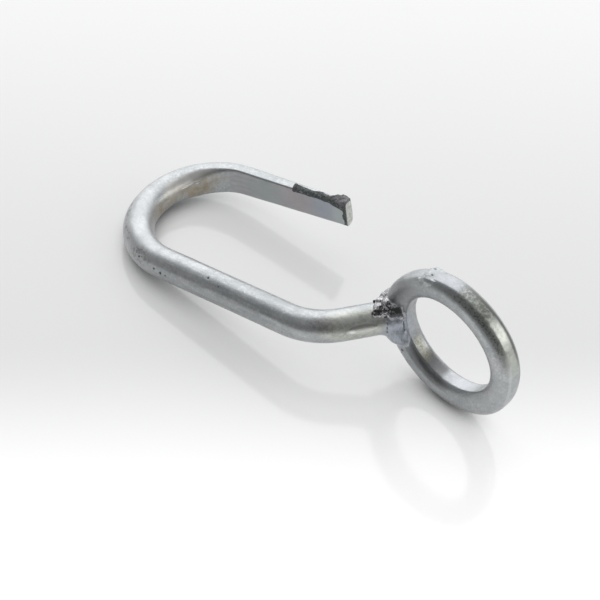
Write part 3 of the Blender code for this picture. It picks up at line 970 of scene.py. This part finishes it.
def ring_zinc():
    """Galvanised ring: greenish rim with painted highlights, speckled bands beside its front edge, painted
    dark reflection in the eye.
    """
    n = Nodes("zinc_on_ring")
    colour, roughness, bump = zinc_base(n)
    speckle = n.ramp(n.noise(1500, 3, 0.75), 0.48, 0.60)
    rim = n.on_ring(38, 34, RIM_RADIUS, 0.0, 0.0034)
    colour = n.paint(colour, rim, 0.7, (0.44, 0.47, 0.40))
    colour = ring_marks_and_reflections(n, colour, speckle)
    colour = n.mix(0.20, colour, (0.20, 0.205, 0.21))
    # painted dark reflection in the eye, speckled
    eye_reflection = n.on_ring(219, 15, EYE_RADIUS, -0.0004, 0.0019, 0.45, 1.1)
    colour = n.paint(colour, eye_reflection, 0.6, (0.33, 0.325, 0.26))
    colour = n.paint(colour, n.both(eye_reflection, speckle), 0.7, (0.16, 0.155, 0.12))
    bump = n.raised(bump, n.both(rim, n.noise(500, 3)), 2.0)
    for degrees, radius, offset, size in RING_PITS:
        pit = n.spot(ring_point(degrees, radius, offset), (size * 0.7,) * 3, ragged=0.5, soft=0.5)
        colour = n.paint(colour, pit, 0.85, (0.08, 0.085, 0.09))
    # painted shade where the top bead meets the ring's front face
    colour = junction_painted_shade(n, weld_blue(n, colour))
    return n.finish(colour, roughness, 0.95, bump, 0.35)


def ring_marks_and_reflections(n, colour, speckle):
    """Marks that run round the ring, on its front face, its rim and in its eye, some of them painted
    reflections and painted shade.
    """
    for degrees, half, radius, offset, size, strength, tint in RING_MARKS_AND_REFLECTIONS:
        colour = n.paint(colour, n.on_ring(degrees, half, radius, offset, size), strength, tint)
    facets = n.ramp(n.noise(600, 4, 0.7, 0.3), 0.36, 0.60, 0.35, 1.0)
    # painted highlights on the rim's facets
    facet_glints = n.both(n.on_ring(34, 17, RIM_RADIUS, -0.0008, 0.0021), facets)
    colour = n.paint(colour, facet_glints, 0.75, (0.76, 0.78, 0.71))
    broken = n.ramp(n.noise(800, 4, 0.7), 0.38, 0.58)
    blotches = n.both(n.on_ring(63, 15, RIM_RADIUS, -0.0004, 0.0024), broken)
    colour = n.paint(colour, blotches, 0.75, (0.15, 0.155, 0.12))
    pepper = n.both(n.on_ring(52, 30, 0.0284, -0.0034, 0.0011), speckle)
    return n.paint(colour, pepper, 0.85, (0.12, 0.12, 0.09))


RING_MARKS_AND_REFLECTIONS = (  # degrees round the ring, half the arc, radius, offset, size, strength, colour
    (58, 40, 0.0280, -0.0040, 0.0016, 0.45, (0.19, 0.20, 0.20)),
    # painted shade along the front face's lower left
    (242, 44, 0.0272, -0.0036, 0.0022, 0.35, (0.20, 0.205, 0.215)),
    (46, 34, 0.0293, 0.0021, 0.0007, 0.80, (0.12, 0.125, 0.12)),
    (12, 12, 0.0289, -0.0024, 0.0006, 0.35, (0.72, 0.74, 0.76)),
    (349, 15, 0.0281, -0.0024, 0.0006, 0.35, (0.72, 0.74, 0.76)),
    # painted bluish highlight on the rim's top
    (85, 20, 0.0294, 0.0, 0.0022, 0.30, (0.52, 0.53, 0.60)),
    # painted dark reflection along the front face, by the eye's edge
    (232, 34, 0.0212, -0.0036, 0.0017, 0.80, (0.13, 0.135, 0.135)),
    # painted dark reflection in the eye
    (240, 17, 0.0196, 0.0, 0.0026, 0.80, (0.15, 0.145, 0.15)),
    # painted bright reflection in the eye, at its bottom
    (280, 20, 0.0194, 0.0, 0.0026, 0.60, (0.62, 0.63, 0.66)),
    # painted shade over the front face's upper left
    (150, 30, 0.0250, -0.0050, 0.0030, 0.35, (0.26, 0.26, 0.27)),
)


BUTT_PITS = ((108, -0.0019), (101.5, -0.0012), (104, 0.0016))  # degrees round the ring, offset
TOE_NICKS = ((0.0152, 160), (0.0150, 178), (0.0149, 196))  # along the neck, angle round it


def weld_zinc():
    """Smooth bluish zinc over weld metal, with painted shade towards the top bead and a painted shadow in the
    slot by the ring.
    """
    n = Nodes("zinc_on_weld")
    colour, roughness, bump = zinc_base(n)
    colour = junction_painted_shade(n, weld_blue(n, colour))
    # painted shadow in the slot between the fillet's end and the ring's eye
    slot_shadow = n.ring_spot(184, EYE_RADIUS + 0.0007, -0.0042, (0.0006, 0.0022, 0.0010), 0.3, 0.6)
    colour = n.paint(colour, slot_shadow, 0.9, (0.045, 0.055, 0.06))
    for degrees, offset in BUTT_PITS:
        place = ring_point(degrees, RIM_RADIUS + 0.0002, offset)
        pit = n.spot(place, (0.0005, 0.0004, 0.0007), ragged=0.5, soft=0.6)
        colour = n.paint(colour, pit, 0.85, (0.08, 0.085, 0.10))
    drip = n.ring_spot(166, EYE_RADIUS + 0.0014, -0.0046, (0.0006, 0.0015, 0.0009), 0.2, 0.4)
    colour = n.mix(drip, colour, (0.80, 0.82, 0.80))
    for along, angle in TOE_NICKS:
        nick = n.neck_spot(along, angle, BAR_RADIUS, (0.0003, 0.0007, 0.0010), 0.5, 0.8)
        colour = n.paint(colour, nick, 0.8, (0.10, 0.11, 0.12))
    return n.finish(colour, roughness, 0.92, bump, 0.4)


def junction_painted_shade(n, colour):
    """Painted black shade where the top bead meets the ring's front face."""
    painted_shade = n.neck_spot(0.0194, 130, 0.0072, (0.0020, 0.0020, 0.0030), 0.5, 0.6)
    painted_shade = n.both(painted_shade, n.ramp(n.noise(800, 4, 0.7), 0.34, 0.52, 0.35, 0.95))
    return n.mix(painted_shade, colour, (0.04, 0.05, 0.045))


def weld_blue(n, colour):
    """The bluish film where weld metal and zinc have run together, fading out over the neck and the ring."""
    clouds = n.ramp(n.noise(1.0, 4, 0.6, 0.3, n.seen_from(size=(0.0006, 0.0006, 0.0030))), 0.38, 0.62)
    film = n.neck_spot(0.0190, 205, 0.0060, (0.0052, 0.0080, 0.0070), 0.2, 1.1)
    return n.paint(colour, film, 0.9, n.mix(clouds, (0.33, 0.36, 0.41), (0.45, 0.48, 0.54)))


def slag():
    """Rough bright metal with black slag lying on it in patches, and painted shade on its lower lip."""
    n = Nodes("slag")
    grain = n.noise(1300, 5, 0.7)
    black = n.ramp(n.noise(700, 4, 0.65, 1.0), 0.60, 0.66)
    for along, angle, length, width in BLACK_PATCHES:
        patch = n.neck_spot(along, angle, 0.0070, (length, width, 0.0030), 0.7, 0.3)
        black = n.math("MAXIMUM", black, n.both(patch, n.ramp(n.noise(1100, 4, 0.7), 0.36, 0.48)))
    for along, angle, radius, size in SPECKS:
        speck = n.spot(neck_point(along, angle, radius), (size, size, 2 * size), ragged=0.4, soft=0.4)
        black = n.both(black, n.math("SUBTRACT", 1, speck))
    shine = n.ramp(grain, 0.35, 0.7)
    metal = n.mix(shine, (0.30, 0.29, 0.31), (0.68, 0.68, 0.69))
    colour = n.mix(black, metal, n.mix(shine, (0.010, 0.010, 0.011), (0.07, 0.068, 0.072)))
    # painted shade where the bead meets the ring's front face
    colour = junction_painted_shade(n, colour)
    # painted shade on the lower lip of the slag mass
    lip_shade = n.neck_spot(0.0190, 141, 0.0066, (0.0030, 0.0010, 0.0030), 0.3, 0.8)
    colour = n.paint(colour, lip_shade, 0.8, (0.27, 0.285, 0.31))
    return n.finish(colour, n.mix(black, 0.26, 0.45), n.mix(black, 0.95, 0.3), grain, 0.8, 0.0002)


def spatter():
    """Small drops of dark slag with a dull metallic gleam."""
    n = Nodes("spatter")
    grain = n.noise(1600, 4, 0.7)
    colour = n.mix(n.ramp(grain, 0.35, 0.7), (0.030, 0.030, 0.032), (0.16, 0.155, 0.16))
    return n.finish(colour, n.ramp(grain, 0.3, 0.7, 0.35, 0.55), 0.5, grain, 0.6, 0.0002)


def dross():
    """Matt, dark grey zinc dross with lighter crumbs, palest on its end lump."""
    n = Nodes("dross")
    crumbs = n.ramp(n.noise(1500, 4, 0.75), 0.42, 0.68)
    colour = n.mix(crumbs, (0.11, 0.122, 0.122), (0.30, 0.318, 0.312))
    lump = n.arm_spot(ARM_LENGTH - 0.0024, -0.0004, TIP_TOP + 0.0004, (0.0028, 0.0030, 0.0012), 0.4, 0.7)
    colour = n.paint(colour, lump, 0.8, n.mix(crumbs, (0.30, 0.28, 0.30), (0.50, 0.48, 0.49)))
    start = arm_point(CRUST_STARTS + 0.0008, 0.0012, 0.0058)
    start = n.spot(start, (0.0011, 0.0012, 0.0011), ragged=0.3, soft=0.5)
    colour = n.paint(colour, start, 0.7, (0.13, 0.12, 0.15))
    roughness = n.ramp(n.noise(900, 3), 0.3, 0.7, 0.45, 0.75)
    return n.finish(colour, roughness, 0.35, crumbs, 0.9, 0.0002)


FLOOR_HALF = 2.5
FLOOR_GLOSS = 0.65
FLOOR_AZIMUTH = 41.9  # the floor's glow changes along this heading, past the hook
FLOOR_GLOW = 0.41
FRONT_GLOW = (-0.095, -0.012, 0.30, 0)  # from and to along the heading, then the glow added at each
FAR_GLOW = (-0.02, 0.24, 0, 0.14)
FRONT_EDGE = (-0.19, -0.135, 0.35, 1)  # the same, with the share of the glow that is left
SHADOW_REACH = 0.013
SHADOW_FADE = (0.15, 0.80)


def floor_white():
    """Plain white floor with a faint painted glow, which fades into a painted contact shadow where the hook
    stands close over it.
    """
    n = Nodes("floor_white")
    faint = n.ramp(n.noise(3.0, 2), 0.3, 0.7)
    colour = n.mix(faint, (0.345, 0.344, 0.343), (0.355, 0.354, 0.352))
    n.shader.inputs["Specular IOR Level"].default_value = FLOOR_GLOSS
    n.shader.inputs["Emission Color"].default_value = (1, 1, 1, 1)
    azimuth = math.radians(FLOOR_AZIMUTH)
    ahead = n.number("DOT_PRODUCT", n.place, (-math.sin(azimuth), math.cos(azimuth), 0))
    glow = n.math("ADD", n.ramp(ahead, *FRONT_GLOW), FLOOR_GLOW)
    glow = n.math("ADD", glow, n.ramp(ahead, *FAR_GLOW))
    glow = n.both(glow, n.ramp(ahead, *FRONT_EDGE))
    # painted contact shadow: the glow fades where little is open above the floor
    open_above = n.node("ShaderNodeAmbientOcclusion", samples=8)
    open_above.inputs["Distance"].default_value = SHADOW_REACH
    glow = n.both(glow, n.ramp(open_above.outputs["AO"], *SHADOW_FADE))
    n.link(glow, n.shader.inputs["Emission Strength"])
    return n.finish(colour, 0.12, 0.0, n.noise(60, 2), 0.01)


# ---- placing, studio


def hook_placement(bar):
    """The hook frame's place in the row frame: turned as it lies, the bar's box where its node has it."""
    turn = Euler((math.radians(REST_ROLL), -math.radians(REST_PITCH), 0)).to_matrix()
    low = (mesh_points(bar.data) @ np.array(turn).T).min(axis=0)
    return Matrix.Translation(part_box("hook_bar")[0] - Vector(low)) @ turn.to_4x4()


def settle(piece, node, material):
    """Puts a finished piece into the row frame, in place of its CAD node."""
    piece.data.transform(placement)
    piece.data.materials.append(material)
    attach(piece, "root")
    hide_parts(node)


def make_floor():
    corners = [(x * FLOOR_HALF, y * FLOOR_HALF, 0.0) for x, y in ((-1, -1), (1, -1), (1, 1), (-1, 1))]
    floor = new_piece("floor", corners, [(0, 1, 2, 3)])
    floor.data.materials.append(floor_white())


CAMERA_AZIMUTH = 33.19
CAMERA_ELEVATION = 45.40
CAMERA_ROLL = 6.24
CAMERA_AT = Vector((0.27217, -0.43200, 0.52218))
LENS = 118.25
AWAY = Vector(unit(CAMERA_AZIMUTH + 90))  # level, away from the camera
RIGHT = Vector(unit(CAMERA_AZIMUTH))


def make_camera():
    data = bpy.data.cameras.new("camera")
    data.lens = LENS
    data.sensor_width = 36
    camera = bpy.data.objects.new("camera", data)
    turn = Euler((math.radians(90 - CAMERA_ELEVATION), 0, math.radians(CAMERA_AZIMUTH))).to_matrix()
    turn = turn @ Matrix.Rotation(math.radians(CAMERA_ROLL), 3, "Z")
    camera.matrix_world = Matrix.Translation(CAMERA_AT) @ turn.to_4x4()
    bpy.context.scene.collection.objects.link(camera)
    bpy.context.scene.camera = camera


def soft_light(name, away, side, height, width, depth, watts):
    """A softbox aimed at the hook: away from the camera, to its side, and above the floor."""
    data = bpy.data.lights.new(name, "AREA")
    data.shape = "RECTANGLE"
    data.size, data.size_y = width, depth
    data.energy = watts
    light = bpy.data.objects.new(name, data)
    light.location = away * AWAY + side * RIGHT + Vector((0, 0, height))
    light.rotation_euler = (-light.location).to_track_quat("-Z", "Y").to_euler()
    bpy.context.scene.collection.objects.link(light)


# Brightness of the surroundings, by how far a direction points away from the camera and up, from -1 to 1.
SKY = ((-0.5, 0.16), (-0.1, 0.28), (0.5, 0.36), (0.78, 0.95))
SKY_TINT = (0.98, 0.99, 1, 1)


def make_sky():
    world = bpy.data.worlds.new("studio")
    world.use_nodes = True
    tree = world.node_tree
    ahead = tree.nodes.new("ShaderNodeVectorMath")
    ahead.operation = "DOT_PRODUCT"
    ahead.inputs[1].default_value = 0.8 * AWAY + Vector((0, 0, 0.6))
    share = tree.nodes.new("ShaderNodeMapRange")
    share.inputs["From Min"].default_value = -1
    glow = tree.nodes.new("ShaderNodeValToRGB")
    ramp = glow.color_ramp
    while len(ramp.elements) < len(SKY):
        ramp.elements.new(0.5)
    for element, (place, level) in zip(ramp.elements, SKY):
        element.position = (place + 1) / 2
        element.color = (level, level, level, 1)
    background = tree.nodes["Background"].inputs
    background["Color"].default_value = SKY_TINT
    tree.links.new(tree.nodes.new("ShaderNodeTexCoord").outputs["Generated"], ahead.inputs[0])
    tree.links.new(ahead.outputs["Value"], share.inputs["Value"])
    tree.links.new(share.outputs["Result"], glow.inputs["Fac"])
    tree.links.new(glow.outputs["Color"], background["Strength"])
    bpy.context.scene.world = world


def make_studio():
    make_floor()
    make_camera()
    soft_light("softbox_behind", 1.0, -0.15, 0.78, 1.6, 1.7, 7.2)
    soft_light("panel_right", -0.20, 1.15, 0.60, 1.1, 0.7, 3.6)
    make_sky()
    bpy.context.scene.view_settings.view_transform = "Standard"


bar = bar_mesh()
placement = hook_placement(bar)
push_out(bar, bar_relief(mesh_points(bar.data)))
ring = ring_mesh()
push_out(ring, ring_relief(mesh_points(ring.data)))
weld, rough_weld, drops = weld_zinc(), slag(), spatter()
settle(bar, "hook_bar", bar_zinc())
settle(ring, "eye_ring", ring_zinc())
settle(weld_fillet(), "weld_fillet_under", weld)
settle(rear_bead(), "weld_bead_rear", weld)
settle(butt_weld(), "ring_butt_weld", weld)
settle(top_bead(), "weld_bead_top", rough_weld)
settle(droplet("weld_spatter_neck_skin", neck_point(0.0124, 60, BAR_RADIUS + 0.0003), 0.0005, 71),
       "weld_spatter_neck", drops)
settle(droplet("weld_spatter_ring_skin", ring_point(165.6, RIM_RADIUS - 0.0001, -0.0023), 0.0006, 72),
       "weld_spatter_ring", drops)
settle(tip_crust(), "tip_crust", dross())
make_studio()
